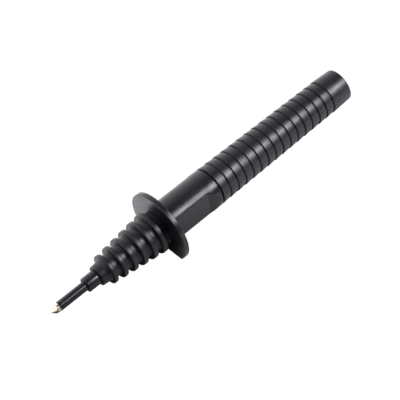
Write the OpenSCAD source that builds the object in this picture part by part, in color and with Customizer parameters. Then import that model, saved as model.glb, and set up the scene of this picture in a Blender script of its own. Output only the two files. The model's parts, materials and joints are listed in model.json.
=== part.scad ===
// High-voltage oscilloscope probe, held like a pen.
// X runs along the probe from the contact point (x = 0) to the tail, +Z is up,
// and the guard's anti-roll flat faces -Z.

/* [Contact tip] */
// Length of the pointed four-sided end
point_l = 3.9; // [2.5:0.1:5]
// Turn of the four-sided point about the probe's axis, in degrees
point_turn = 17; // [0:1:45]
// Length of the round head behind the point
head_l = 1.3; // [1.2:0.1:3]
// Diameter of the round head
head_d = 4.7; // [4:0.1:4.8]
// Travel of the sprung tip
tip_travel = 3; // [1:0.5:4]

/* [Sleeve and collar] */
// Outside diameter of the insulating sleeve
sleeve_d = 5.1; // [5:0.1:5.2]
// Where the collar starts, measured from the contact point
collar_x0 = 22.6; // [20:0.1:25]
// Length of the collar that shows
collar_l = 7.1; // [6.5:0.1:7.5]
// Outside diameter of the collar
collar_d = 8.1; // [7.9:0.1:8.6]

/* [Ribbed nose] */
// Number of thin sheds
shed_n = 6; // [4:1:6]
// Front face of the first shed, measured from the contact point
shed_x0 = 35.4; // [34.8:0.1:36]
// Distance from one shed to the next
shed_pitch = 5.98; // [5.6:0.02:6]
// Crest radius of the first shed
shed_r0 = 8.45; // [8:0.05:9]
// Growth in crest radius from one shed to the next
shed_grow = 0.67; // [0.5:0.01:0.8]
// Thickness of the first shed
shed_t = 2.5; // [2:0.1:2.8]
// Growth in thickness from one shed to the next
shed_t_grow = 0.15; // [0:0.05:0.2]
// Depth from a crest to the waist behind it
shed_depth = 1.8; // [1.5:0.05:2]

/* [Finger guard and front body] */
// Front face of the guard disc, measured from the contact point
disc_x0 = 71.8; // [71.5:0.1:73]
// Thickness of the guard disc
disc_t = 2.8; // [2:0.1:4]
// Diameter of the guard disc
disc_d = 40.4; // [36:0.2:46]
// Distance from the axis to the guard's anti-roll flat
rest_flat = 14; // [12.5:0.1:18]
// Body radius at the guard
body_r0 = 11.15; // [10.8:0.05:11.5]
// Body radius at the grip
body_r1 = 11; // [10.8:0.05:11.3]
// Rear end of the front body, measured from the contact point
body_x1 = 106.9; // [105.5:0.1:108]
// Distance from the axis to each side flat
side_flat = 7.9; // [7.5:0.1:10]
// Where the side flats end and their ramps begin
flat_x1 = 100; // [92:0.5:100.5]

/* [Grip] */
// Number of grooves round the grip
groove_n = 16; // [10:1:16]
// Distance from one groove to the next
groove_pitch = 5.446; // [5.3:0.002:5.45]
// Width of a groove
groove_w = 0.7; // [0.5:0.1:1]
// Depth of a groove below the ring behind it
groove_depth = 0.85; // [0.5:0.05:0.9]
// Fall in radius along one ring, from its front lip to its rear edge
ring_fall = 0.35; // [0.1:0.05:0.4]
// Lip radius of the first ring
lip_r0 = 11.05; // [10.8:0.05:11.3]
// Lip radius of the last ring
lip_r1 = 9.85; // [9.8:0.05:10.3]
// Rear end of the grip, measured from the contact point
tail_x1 = 202.1; // [200:0.1:206]
// Grip radius at its rear end
tail_r = 9.25; // [9.2:0.05:9.6]

/* [Rear connector] */
// Barrel diameter of the bayonet receptacle
barrel_d = 9.6; // [9.6:0.05:9.7]
// Width across the two bayonet lugs
lug_span = 11; // [10.9:0.1:11.1]
// Diameter of the recess that the plug's coupling ring enters
recess_d = 15; // [14.9:0.1:15.2]
// Diameter of the wider mouth of the recess
mouth_d = 15.5; // [15.4:0.1:15.6]
// How far the barrel's end sits inside the tail
barrel_recess = 8.6; // [7:0.1:10]

/* [Hidden] */
$fn = 96;

// Clearance between sliding parts, reach of cutting tools, and depth that joined shapes share
running_gap = 0.05;
cut = 1;
overlap = 0.1;

// Contact tip and plunger
tip_l = point_l + head_l;
stud_r = 0.8;
stud_l = 5;
sleeve_r = sleeve_d / 2;
sleeve_relief = 0.2;
rod_r = 1.5;
dimple_r = 0.45;
dimple_depth = 0.2;
dimple_x = 7.7;
dimple_angle = 9.4;

// Collar and seal
collar_r = collar_d / 2;
collar_x1 = collar_x0 + collar_l;
collar_edge = 0.4;
spigot_x1 = 34.5;
seal_t = 0.5;
seal_r = 3.95;

// Nose
nose_x0 = collar_x1 + seal_t;
stub_x1 = 33.5;
stub_r0 = 5.6;
stub_r1 = 5.9;
lip_l = 1;
core_bore_r = 3.4;
core_x0 = nose_x0 + lip_l;
core_r = 4.65;
core_x1 = 108;
core_flange_r = 5.8;
core_flange_l = 10;
guard_wall = 4;
shed_edge = 0.5;
shed_rear_edge = 0.9;
// The boot stops this far short of the guard disc
boot_gap = 0.05;

// Plunger stop, spring and bush
stop_l = 1.5;
stop_r = core_bore_r - running_gap;
rod_x1 = 57;
bush_x0 = 50;
bush_l = 4;
spring_wire_r = 0.35;
spring_r = 2.5;
spring_turns = 7.5;
spring_steps = 14;
spring_sides = 8;

// Input resistor
cap_r = 3.1;
cap_l = 4;
cap_wall = 2;
ceramic_r = 2.7;
rod_end_gap = 2;
resistor_x0 = rod_x1 + tip_travel + rod_end_gap;
resistor_x1 = 106;
lead_r = 0.3;
heavy_lead_r = 0.4;
bend_bead = 1.15;
input_lead_y = 2.5;
output_bend_l = 1.4;
divider_bend_gap = 1;
divider_bend_l = 4;

// Guard disc and body
disc_r = disc_d / 2;
disc_x1 = disc_x0 + disc_t;
disc_edge = 0.4;
flat_ramp_l = 4.6;
neck_r = 9.9;
neck_l = 0.75;
body_edge = 0.3;
joint_spigot_r = 8.2;
joint_spigot_l = 13.3;

// Grip
grip_x0 = body_x1 + neck_l;
first_groove_gap = 0.25;
groove_x0 = body_x1 + groove_w / 2 + first_groove_gap;
lip_edge = 0.2;
tail_edge = 0.3;
spigot_end = grip_x0 + joint_spigot_l;
shield_r = 7.6;
shield_wall = 0.4;
web_x0 = 178;
web_l = 2.5;
web_x1 = web_x0 + web_l;
thread_r = 4.7;
shield_x1 = 173;

// Rear connector
barrel_r = barrel_d / 2;
barrel_x1 = tail_x1 - barrel_recess;
mouth_setback = 1;
mouth_x0 = barrel_x1 + mouth_setback;
lug_r = 1;
lug_setback = 4.6;
gasket_t = 0.5;
gasket_r = 6.3;
flange_l = 1.6;
flange_r = 6.4;
flange_x0 = web_x1 + gasket_t;
nut_flats = 12.7;
nut_l = 2;
washer_t = 0.5;
washer_r = 6.2;
tag_t = 0.3;
tag_r = 5.8;
thread_x0 = 173.6;
shell_bore_r = 4.06;
insulator_r = 2.35;
insulator_seat = 185;
insulator_x1 = 190.6;
insulator_rear_r = 2.6;
insulator_x0 = 174.2;
contact_x0 = 171.8;
contact_x1 = 190;
contact_r = 1.1;
contact_bore_r = 0.68;
contact_bore_l = 5;
contact_tail_r = 0.7;

// Circuit board
board_x0 = 123;
board_x1 = 170;
board_w = 13;
board_t = 1.2;
support_l = 3;
support_x = [126.5, 164];
support_bore_r = 5.4;
terminal_r = 0.6;
terminal_top = 2;
terminal_bottom = -1.5;
terminal_xy = [[125, 0], [168.4, 0], [168.4, -4.8]];
chip_r = 1.1;
chip_l = 5.8;
chip_xy = [[135, 3], [135, -3], [143.5, 0]];
disc_cap_r = 2.6;
disc_cap_t = 2.2;
disc_cap_x = 151;
disc_cap_lift = 0.5;
disc_cap_leg_x = 1.5;
disc_cap_leg_in = 1;

// Trimmer, turned through a hole in the underside of the grip
trimmer_ring = 9.5;
trimmer_x = groove_x0 + trimmer_ring * groove_pitch;
trimmer_r = 3;
trimmer_l = 3;
rotor_r = 2;
rotor_l = 1.4;
rotor_pin_r = 0.5;
rotor_pin_l = 1.8;
slot_w = 0.6;
slot_depth = 0.5;
access_r = 1.6;

// Front face and crest radius of a shed, then middle of a groove and front lip radius of a ring
function shed_x(i) = shed_x0 + i * shed_pitch;
function shed_r(i) = shed_r0 + i * shed_grow;
function groove_x(i) = groove_x0 + i * groove_pitch;
function lip_r(i) = lip_r0 + (lip_r1 - lip_r0) * i / (groove_n - 1);

// Round bar along X
module bar(x0, x1, r) {
    translate([x0, 0, 0])
        rotate([0, 90, 0])
            cylinder(h = x1 - x0, r = r);
}

// Cone along X
module cone(x0, x1, r0, r1) {
    translate([x0, 0, 0])
        rotate([0, 90, 0])
            cylinder(h = x1 - x0, r1 = r0, r2 = r1);
}

// Tube along X
module tube(x0, x1, r, bore) {
    difference() {
        bar(x0, x1, r);
        bar(x0 - cut, x1 + cut, bore);
    }
}

// Revolves a flat [radius, x] outline about the X axis
module lathe() {
    rotate([0, 90, 0])
        rotate_extrude()
            children();
}

// Flat outline of a disc from x0 to x1 and out to r, with its front and rear rims rounded
module round_edge(x0, x1, r, front_edge, rear_edge) {
    polygon([[0, x0], [r - front_edge, x0], [r, x0 + front_edge],
             [r, x1 - rear_edge], [r - rear_edge, x1], [0, x1]]);
    translate([r - front_edge, x0 + front_edge])
        circle(r = front_edge);
    translate([r - rear_edge, x1 - rear_edge])
        circle(r = rear_edge);
}

// Round wire through a list of points
module wire(points, r) {
    for (i = [0 : len(points) - 2])
        wire_run(points[i], points[i + 1], r);
    for (i = [1 : 1 : len(points) - 2])
        translate(points[i])
            sphere(r = r * bend_bead, $fn = 32);
}

// One straight run of wire
module wire_run(a, b, r) {
    v = b - a;
    l = norm(v);
    translate(a)
        rotate([0, acos(v[2] / l), atan2(v[1], v[0])])
            cylinder(h = l, r = r);
}

module contact_tip() {
    color("gold")
    union() {
        intersection() {
            bar(0, tip_l, head_d / 2);
            union() {
                bar(point_l, tip_l, head_d / 2);
                rotate([point_turn, 0, 0])
                    intersection() {
                        point_wedge();
                        rotate([90, 0, 0])
                            point_wedge();
                    }
            }
        }
        bar(tip_l - overlap, tip_l + stud_l, stud_r);
    }
}

// Wedge whose edge lies across the contact point
module point_wedge() {
    half = head_d / 2;
    translate([0, 0, -head_d])
        linear_extrude(height = 2 * head_d)
            polygon([[0, 0], [point_l, -half], [point_l + overlap, -half],
                     [point_l + overlap, half], [point_l, half]]);
}

module tip_sleeve() {
    color([0.05, 0.05, 0.06])
    difference() {
        union() {
            bar(tip_l, collar_x0, sleeve_r);
            bar(collar_x0, spigot_x1, sleeve_r - sleeve_relief);
        }
        bar(tip_l - cut, spigot_x1 + cut, rod_r);
        translate([dimple_x, 0, 0])
            rotate([dimple_angle, 0, 0])
                translate([0, 0, sleeve_r - dimple_depth])
                    cylinder(h = cut, r = dimple_r, $fn = 24);
    }
}

module contact_rod() {
    color("goldenrod")
    difference() {
        union() {
            bar(tip_l, rod_x1, rod_r);
            bar(spigot_x1, spigot_x1 + stop_l, stop_r);
        }
        bar(tip_l - cut, tip_l + stud_l, stud_r);
    }
}

// Points of one ring round the spring's wire, at a turn angle of a
function coil_ring(a, x) = [
    for (k = [0 : spring_sides - 1])
        let (b = 360 * k / spring_sides,
             r = spring_r + spring_wire_r * cos(b))
        [x + spring_wire_r * sin(b), r * cos(a), r * sin(a)]
];

module tip_spring() {
    n = floor(spring_turns * spring_steps);
    x0 = spigot_x1 + stop_l + spring_wire_r;
    x1 = bush_x0 - spring_wire_r;
    rings = [
        for (j = [0 : n])
            coil_ring(360 * j / spring_steps, x0 + (x1 - x0) * j / n)
    ];
    points = [for (ring = rings) for (p = ring) p];
    sides = [
        for (j = [0 : n - 1])
            for (k = [0 : spring_sides - 1])
                let (m = (k + 1) % spring_sides,
                     a = j * spring_sides,
                     b = a + spring_sides)
                [a + k, a + m, b + m, b + k]
    ];
    first = [for (k = [spring_sides - 1 : -1 : 0]) k];
    last = [for (k = [0 : spring_sides - 1]) n * spring_sides + k];
    color("lightsteelblue")
        polyhedron(points, concat([first], sides, [last]));
}

module guide_bush() {
    color("goldenrod")
        tube(bush_x0, bush_x0 + bush_l, core_bore_r, rod_r + running_gap);
}

module front_collar() {
    color([0.08, 0.08, 0.09])
    difference() {
        union() {
            lathe()
                round_edge(collar_x0, collar_x1, collar_r, collar_edge, collar_edge);
            bar(collar_x1 - overlap, spigot_x1, core_bore_r);
        }
        bar(collar_x0 - cut, spigot_x1 + cut, sleeve_r + running_gap);
    }
}

module collar_seal() {
    color([0.03, 0.03, 0.03])
        tube(collar_x1, collar_x1 + seal_t, seal_r, core_bore_r);
}

module nose_insulator() {
    last = shed_n - 1;
    color([0.07, 0.07, 0.08])
    difference() {
        union() {
            cone(nose_x0, stub_x1, stub_r0, stub_r1);
            cone(stub_x1, shed_x(0) + overlap, stub_r1, shed_r(0) - shed_depth);
            for (i = [0 : last]) {
                rear = i < last ? shed_x(i + 1) + overlap : disc_x0 - boot_gap;
                bar(shed_x(i), rear, shed_r(i) - shed_depth);
                lathe()
                    round_edge(shed_x(i), shed_x(i) + shed_t + i * shed_t_grow,
                               shed_r(i), shed_edge, shed_rear_edge);
            }
        }
        bar(nose_x0 - cut, core_x0, core_bore_r);
        bar(core_x0, disc_x0 + cut, core_r);
    }
}

module nose_core() {
    flange_x0 = disc_x0 + guard_wall;
    color("ivory")
    difference() {
        union() {
            bar(core_x0, core_x1, core_r);
            bar(flange_x0, flange_x0 + core_flange_l, core_flange_r);
        }
        bar(core_x0 - cut, core_x1 + cut, core_bore_r);
    }
}

module input_lead() {
    color("silver")
        wire([[bush_x0 + bush_l, input_lead_y, 0], [resistor_x0, input_lead_y, 0]], lead_r);
}

module resistor_rod() {
    color("white")
        bar(resistor_x0 + cap_wall, resistor_x1 - cap_wall, ceramic_r);
}

module resistor_end_caps() {
    color("silver") {
        difference() {
            bar(resistor_x0, resistor_x0 + cap_l, cap_r);
            bar(resistor_x0 + cap_wall, resistor_x0 + cap_l + cut, ceramic_r);
        }
        difference() {
            bar(resistor_x1 - cap_l, resistor_x1, cap_r);
            bar(resistor_x1 - cap_l - cut, resistor_x1 - cap_wall, ceramic_r);
        }
    }
}

module divider_lead() {
    bend_x = board_x0 - divider_bend_gap;
    z = terminal_top + heavy_lead_r;
    color("silver")
        wire([[resistor_x1, 0, 0], [bend_x - divider_bend_l, 0, 0], [bend_x, 0, z],
              [terminal_xy[0][0] + terminal_r, 0, z]], heavy_lead_r);
}

// Removes one side flat and the ramp behind it, on the -Y side
module side_flat_cut() {
    outer = body_r0 + 2 * cut;
    ramp_run = flat_ramp_l * (outer - side_flat) / (body_r1 - side_flat);
    translate([0, 0, -outer])
        linear_extrude(height = 2 * outer)
            polygon([[disc_x1, -side_flat], [flat_x1, -side_flat],
                     [flat_x1 + ramp_run, -outer], [disc_x1, -outer]]);
}

module guard_body() {
    bore_x0 = disc_x0 + guard_wall;
    color([0.08, 0.08, 0.09])
    difference() {
        union() {
            difference() {
                lathe()
                    round_edge(disc_x0, disc_x1, disc_r, disc_edge, disc_edge);
                translate([disc_x0 - cut, -disc_r, -rest_flat - disc_r])
                    cube([disc_t + 2 * cut, 2 * disc_r, disc_r]);
            }
            cone(disc_x1 - overlap, body_x1 - body_edge, body_r0, body_r1);
            cone(body_x1 - body_edge, body_x1, body_r1, body_r1 - body_edge);
            bar(body_x1 - overlap, grip_x0, neck_r);
            bar(grip_x0 - overlap, spigot_end, joint_spigot_r);
        }
        side_flat_cut();
        mirror([0, 1, 0])
            side_flat_cut();
        bar(disc_x0 - cut, bore_x0 + cut, core_r);
        bar(bore_x0, spigot_end + cut, core_flange_r);
    }
}

// Flat outline of the grip's outside: one tapering ring behind each groove, then the tail
module grip_outline() {
    for (i = [0 : groove_n - 2]) {
        x0 = groove_x(i) + groove_w / 2;
        x1 = groove_x(i + 1) - groove_w / 2;
        floor_r = lip_r(i + 1) - groove_depth;
        polygon([[0, x0], [lip_r(i) - lip_edge, x0], [lip_r(i), x0 + lip_edge],
                 [lip_r(i + 1) - ring_fall, x1], [0, x1]]);
        polygon([[0, x1 - overlap], [floor_r, x1 - overlap],
                 [floor_r, x1 + groove_w + overlap], [0, x1 + groove_w + overlap]]);
    }
    tail_x0 = groove_x(groove_n - 1) + groove_w / 2;
    polygon([[0, tail_x0], [lip_r1 - lip_edge, tail_x0], [lip_r1, tail_x0 + lip_edge],
             [tail_r, tail_x1 - tail_edge], [tail_r - tail_edge, tail_x1], [0, tail_x1]]);
}

module handle_grip() {
    color([0.09, 0.09, 0.1])
    difference() {
        lathe()
            grip_outline();
        bar(groove_x0 - cut, spigot_end, joint_spigot_r);
        bar(spigot_end - cut, web_x0, shield_r);
        bar(web_x0 - cut, web_x1 + cut, thread_r + running_gap);
        bar(web_x1, mouth_x0 + cut, recess_d / 2);
        bar(mouth_x0, tail_x1 + cut, mouth_d / 2);
        translate([trimmer_x, 0, -lip_r0 - cut])
            cylinder(h = lip_r0, r = access_r, $fn = 48);
    }
}

module shield_tube() {
    color("silver")
    difference() {
        tube(spigot_end, shield_x1, shield_r, shield_r - shield_wall);
        translate([trimmer_x, 0, -shield_r - cut])
            cylinder(h = shield_r, r = access_r, $fn = 48);
    }
}

module circuit_board() {
    color("darkgreen")
    difference() {
        translate([board_x0, -board_w / 2, -board_t / 2])
            cube([board_x1 - board_x0, board_w, board_t]);
        for (p = terminal_xy)
            translate([p[0], p[1], -cut])
                cylinder(h = 2 * cut, r = terminal_r, $fn = 24);
    }
}

module board_supports() {
    color("dimgray")
    for (x = support_x)
        difference() {
            tube(x, x + support_l, shield_r - shield_wall, support_bore_r);
            translate([x - cut, -board_w / 2, -board_t / 2])
                cube([support_l + 2 * cut, board_w, board_t]);
        }
}

module board_terminals() {
    color("silver")
    for (p = terminal_xy)
        translate([p[0], p[1], terminal_bottom])
            cylinder(h = terminal_top - terminal_bottom, r = terminal_r, $fn = 24);
}

module divider_resistors() {
    color("steelblue")
    for (p = chip_xy)
        translate([p[0], p[1], board_t / 2 + chip_r])
            bar(-chip_l / 2, chip_l / 2, chip_r);
}

module compensation_capacitor() {
    z = board_t / 2 + disc_cap_lift + disc_cap_r;
    color("peru")
    union() {
        translate([disc_cap_x, disc_cap_t / 2, z])
            rotate([90, 0, 0])
                cylinder(h = disc_cap_t, r = disc_cap_r, $fn = 48);
        for (side = [-1, 1])
            translate([disc_cap_x + side * disc_cap_leg_x, 0, board_t / 2])
                cylinder(h = disc_cap_lift + disc_cap_leg_in, r = lead_r, $fn = 24);
    }
}

module trimmer_body() {
    color("khaki")
    difference() {
        translate([trimmer_x, 0, -board_t / 2 - trimmer_l])
            cylinder(h = trimmer_l, r = trimmer_r, $fn = 64);
        translate([trimmer_x, 0, -board_t / 2 - trimmer_l - cut])
            cylinder(h = rotor_pin_l + running_gap + cut, r = rotor_pin_r + running_gap, $fn = 32);
    }
}

module trimmer_rotor() {
    top = -board_t / 2 - trimmer_l - running_gap;
    color("goldenrod")
    difference() {
        translate([trimmer_x, 0, 0])
            union() {
                translate([0, 0, top - rotor_l])
                    cylinder(h = rotor_l, r = rotor_r, $fn = 48);
                translate([0, 0, top - overlap])
                    cylinder(h = rotor_pin_l + overlap, r = rotor_pin_r, $fn = 32);
            }
        translate([trimmer_x - rotor_r - cut, -slot_w / 2, top - rotor_l - cut])
            cube([2 * rotor_r + 2 * cut, slot_w, slot_depth + cut]);
    }
}

// Lead from the board's signal terminal down to the receptacle's centre contact
module output_lead() {
    p = terminal_xy[1];
    z0 = terminal_top + lead_r;
    z1 = contact_tail_r + lead_r;
    bend = output_bend_l;
    color("silver")
        wire([[p[0] - terminal_r, 0, z0], [p[0] + bend, 0, z0],
              [contact_x0 - heavy_lead_r, 0, z1], [contact_x0 + bend, 0, z1]], lead_r);
}

// Straight lead from the board's ground terminal to the solder tag
module ground_lead() {
    p = terminal_xy[2];
    z = terminal_top + lead_r;
    tag_x = web_x0 - washer_t - nut_l - tag_t;
    color("silver")
        wire([[p[0] - terminal_r, p[1], z], [tag_x, p[1], z]], lead_r);
}

module solder_tag() {
    x1 = web_x0 - washer_t - nut_l;
    color("silver")
        tube(x1 - tag_t, x1, tag_r, thread_r);
}

module socket_nut() {
    x1 = web_x0 - washer_t;
    color("gainsboro")
    difference() {
        translate([x1 - nut_l, 0, 0])
            rotate([0, 90, 0])
                cylinder(h = nut_l, r = nut_flats / 2 / cos(30), $fn = 6);
        bar(x1 - nut_l - cut, x1 + cut, thread_r);
    }
}

module lock_washer() {
    color("gainsboro")
        tube(web_x0 - washer_t, web_x0, washer_r, thread_r);
}

module socket_gasket() {
    color([0.03, 0.03, 0.03])
        tube(web_x1, web_x1 + gasket_t, gasket_r, thread_r);
}

module socket_shell() {
    color("gainsboro")
    difference() {
        union() {
            bar(thread_x0, flange_x0 + overlap, thread_r);
            bar(flange_x0, flange_x0 + flange_l, flange_r);
            bar(flange_x0 + flange_l - overlap, barrel_x1, barrel_r);
            translate([barrel_x1 - lug_setback, 0, -lug_span / 2])
                cylinder(h = lug_span, r = lug_r, $fn = 32);
        }
        bar(insulator_seat - flange_l, barrel_x1 + cut, shell_bore_r);
        bar(thread_x0 - cut, barrel_x1, insulator_rear_r);
    }
}

module socket_insulator() {
    color("white")
    difference() {
        union() {
            bar(insulator_x0, insulator_seat, insulator_rear_r);
            bar(insulator_seat - flange_l, insulator_seat, shell_bore_r);
            bar(insulator_seat - overlap, insulator_x1, insulator_r);
        }
        bar(insulator_x0 - cut, insulator_x1 + cut, contact_tail_r);
        bar(insulator_seat - flange_l, insulator_x1 + cut, contact_r);
    }
}

module socket_contact() {
    color("gold")
    difference() {
        union() {
            bar(contact_x0, insulator_seat, contact_tail_r);
            bar(insulator_seat - flange_l, contact_x1, contact_r);
        }
        bar(contact_x1 - contact_bore_l, contact_x1 + cut, contact_bore_r);
    }
}

contact_tip();
tip_sleeve();
contact_rod();
tip_spring();
guide_bush();
front_collar();
collar_seal();
nose_insulator();
nose_core();
input_lead();
resistor_rod();
resistor_end_caps();
divider_lead();
guard_body();
handle_grip();
shield_tube();
circuit_board();
board_supports();
board_terminals();
divider_resistors();
compensation_capacitor();
trimmer_body();
trimmer_rotor();
output_lead();
ground_lead();
solder_tag();
socket_nut();
lock_washer();
socket_gasket();
socket_shell();
socket_insulator();
socket_contact();
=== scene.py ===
import json
import math

import bmesh
import bpy
from mathutils import Matrix, Vector

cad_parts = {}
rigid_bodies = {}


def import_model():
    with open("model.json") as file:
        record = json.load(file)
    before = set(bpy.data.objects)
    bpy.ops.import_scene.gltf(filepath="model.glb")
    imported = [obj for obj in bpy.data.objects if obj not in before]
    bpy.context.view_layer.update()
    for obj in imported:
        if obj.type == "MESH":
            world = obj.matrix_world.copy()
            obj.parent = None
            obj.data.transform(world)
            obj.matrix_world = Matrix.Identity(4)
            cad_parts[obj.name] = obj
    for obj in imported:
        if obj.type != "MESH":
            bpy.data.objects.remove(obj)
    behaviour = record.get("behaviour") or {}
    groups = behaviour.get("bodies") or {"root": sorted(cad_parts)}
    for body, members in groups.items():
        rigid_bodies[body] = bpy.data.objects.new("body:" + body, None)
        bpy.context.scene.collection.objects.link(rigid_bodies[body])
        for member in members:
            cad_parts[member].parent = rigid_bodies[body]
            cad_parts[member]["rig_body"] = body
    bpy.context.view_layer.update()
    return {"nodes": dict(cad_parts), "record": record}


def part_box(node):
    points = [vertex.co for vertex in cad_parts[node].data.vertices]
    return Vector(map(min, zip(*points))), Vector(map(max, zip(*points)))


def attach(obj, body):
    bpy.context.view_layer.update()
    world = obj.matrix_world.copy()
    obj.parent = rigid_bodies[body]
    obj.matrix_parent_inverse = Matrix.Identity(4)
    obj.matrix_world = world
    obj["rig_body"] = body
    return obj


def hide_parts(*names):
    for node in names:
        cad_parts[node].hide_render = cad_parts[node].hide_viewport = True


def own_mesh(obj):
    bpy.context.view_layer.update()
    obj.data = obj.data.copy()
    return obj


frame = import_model()

# Lengths of the probe are in millimetres, as in the CAD source, and become metres when a mesh is
# made. The camera's distance and aim are in millimetres too; lamps and floor reach are in metres.
MM = 0.001


def span(node):
    """Lowest and highest corners of a CAD node, in millimetres."""
    low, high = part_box(node)
    return low / MM, high / MM


# ---------------------------------------------------------------- sizes

TIP_HIGH = span("contact_tip")[1]
SLEEVE_LOW, SLEEVE_HIGH = span("tip_sleeve")
COLLAR_LOW, COLLAR_HIGH = span("front_collar")
SEAL_LOW, SEAL_HIGH = span("collar_seal")
NOSE_LOW, NOSE_HIGH = span("nose_insulator")
GUARD_LOW, GUARD_HIGH = span("guard_body")
GRIP_HIGH = span("handle_grip")[1]
CORE_LOW = span("nose_core")[0]
SPRING_LOW, SPRING_HIGH = span("tip_spring")
SHELL_LOW, SHELL_HIGH = span("socket_shell")
INSULATOR_LOW, INSULATOR_HIGH = span("socket_insulator")
CONTACT_LOW, CONTACT_HIGH = span("socket_contact")
ROTOR_LOW, ROTOR_HIGH = span("trimmer_rotor")

# Fillets that many edges share
FINE = 0.05
SMALL = 0.1
LIGHT = 0.15
MIDDLE = 0.2
WIDE = 0.3

# Metal point. Its rows crowd towards the tip and run a little past the point's base.
HEAD_R = TIP_HIGH.z
HEAD_L = 1.3
HEAD_EDGE_L = 0.12
HEAD_EDGE = 0.1
POINT_L = SLEEVE_LOW.x - HEAD_L
POINT_TURN = math.radians(17)
POINT_CORNER = 0.12
POINT_ROWS = 40
POINT_CROWDING = 1.2
POINT_OVERRUN = 1.05
STUD_R = 0.8

# Sleeve, with its dimple
SLEEVE_R = SLEEVE_HIGH.z
SLEEVE_BORE = 1.5
SLEEVE_RELIEF = 0.2
SLEEVE_EDGE = 0.14
SLEEVE_ROWS = 12
SLEEVE_LONG = 5
DIMPLE_X = 7.7
DIMPLE_ANGLE = math.radians(99.4)
DIMPLE_R = 0.45
DIMPLE_DEPTH = 0.2
DIMPLE_FLOOR = 0.6
DIMPLE_RIM = 1.15
DIMPLE_REACH = 0.8
DIMPLE_ROWS = 20

# Tip spring
SPRING_WIRE_R = 0.35
SPRING_R = SPRING_HIGH.y - SPRING_WIRE_R
SPRING_TURNS = 7.5
SPRING_STEPS = 48
SPRING_SIDES = 16
SPRING_GAP = 0.03

# Collar
COLLAR_R = COLLAR_HIGH.z
COLLAR_BORE = SLEEVE_R + 0.05
COLLAR_L = 7.1
COLLAR_EDGE = 0.45
COLLAR_REAR_EDGE = 0.25
COLLAR_MOUTH_EDGE = 0.12
SPIGOT_R = 3.4

# Ribbed nose
SHED_COUNT = 6
SHED_X0 = 35.4
SHED_PITCH = 5.98
SHED_R0 = 8.45
SHED_GROW = 0.67
SHED_T = 2.5
SHED_T_GROW = 0.15
SHED_DEPTH = 1.8
SHED_EDGE = 0.5
SHED_REAR_EDGE = 0.9
SHED_ROOT = 0.35
STUB_X1 = 33.5
STUB_R0 = 5.6
STUB_R1 = 5.9
CORE_R = 4.65
CORE_X0 = CORE_LOW.x

# Finger guard
DISC_X0 = GUARD_LOW.x
DISC_T = 2.8
DISC_X1 = DISC_X0 + DISC_T
DISC_EDGE = 0.4
DISC_ROOT = 0.4
DISC_R = GUARD_HIGH.y
REST_FLAT = -GUARD_LOW.z
REST_CORNER = 0.9

# Front body. The path has rows every few tenths of a millimetre along the ramp.
BODY_R0 = 11.15
BODY_R1 = 11.0
BODY_X1 = 106.9
BODY_END_EDGE = 0.35
BODY_STEP = 1.5
RAMP_STEP = 0.22
RAMP_RUN_IN = 2
RUN_IN_SHARE = 0.78
RAMP_RUN_OUT = 0.4
END_LEAD = 1
SIDE_FLAT = 7.9
FLAT_X1 = 100.0
FLAT_CORNER = 0.22
RAMP_L = 4.6
RAMP_CORNER = 0.5
RAMP_CORNER_LEAD = 1
RAMP_SOFTNESS = 0.02
NECK_R = 9.9
NECK_EDGE = 0.12
NECK_MARGIN = 0.2
GUARD_SPIGOT_R = 8.2
GUARD_BORE = 5.8
GUARD_WALL = 4.0

# Slight swelling of the body where the ramp meets it: height, place, length, and place and
# spread across, as the cosine of the angle from the side
SWELL = 0.08
SWELL_X = 2.2
SWELL_L = 1.9
SWELL_SIDE = 0.72
SWELL_SPREAD = 0.22

# Grip
GRIP_X0 = 107.65
GROOVE_COUNT = 16
GROOVE_X0 = 107.5
GROOVE_PITCH = 5.446
GROOVE_W = 0.7
GROOVE_DEPTH = 0.85
RING_FALL = 0.35
LIP_ROUND = 0.34
LIP_R0 = 11.05
LIP_R1 = 9.85
TAIL_X0 = GROOVE_X0 + (GROOVE_COUNT - 1) * GROOVE_PITCH + GROOVE_W / 2
TAIL_X1 = GRIP_HIGH.x
TAIL_R = 9.25
TAIL_EDGE = 0.3
SHIELD_R = 7.6
SHIELD_X0 = 120.95
WEB_X0 = 178.0
WEB_X1 = 180.5
WEB_BORE = 4.75
RECESS_R = 7.5
MOUTH_X0 = 194.5
MOUTH_R = 7.75
ACCESS_X = (ROTOR_LOW.x + ROTOR_HIGH.x) / 2
ACCESS_R = 1.6
ACCESS_PAST = 2

# Receptacle
BARREL_R = 4.8
BARREL_X1 = SHELL_HIGH.x
BARREL_EDGE = 0.35
BARREL_ROOT = 0.25
BARREL_RELIEF = 0.1
BARREL_RELIEF_L = 1.6
BARREL_FULL_L = 1.9
FLANGE_X0 = 181.0
FLANGE_X1 = 182.6
FLANGE_R = SHELL_HIGH.y
THREAD_R = 4.7
THREAD_PITCH = 0.8
THREAD_DEPTH = 0.3
THREAD_START = 0.3
THREAD_CHAMFER = 0.25
THREAD_RUNOUT = 0.25
# Shares of the pitch where the thread's crest starts and ends and where its root is
CREST_START = 0.3
CREST_END = 0.5
ROOT_PLACE = 0.95
SHELL_BORE = 4.06
SHELL_MOUTH_EDGE = 0.25
SEAT_X0 = 183.4
SEAT_L = 1.6
REAR_BORE = 2.6
LUG_R = 1.0
LUG_X = BARREL_X1 - 4.6
LUG_REACH = 5.5
LUG_OVERLAP = 0.2
INSULATOR_R = 2.35
CONTACT_TAIL_R = 0.7
PIN_R = 1.1
PIN_BORE = 0.68
PIN_DEPTH = 5
SLOT_W = 0.24
SLOT_L = 3.2
SLOT_PAST = 1

# Finish of the meshes
TIP_SEGMENTS = 256
RING_SEGMENTS = 192
FINE_SEGMENTS = 384
SMALL_RING_SEGMENTS = 160
SEAL_SEGMENTS = 128
INSULATOR_SEGMENTS = 96
BAR_SEGMENTS = 64
LUG_SEGMENTS = 48
ARC_STEP = math.radians(15)
SHARP_ANGLE = math.radians(32)

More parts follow.
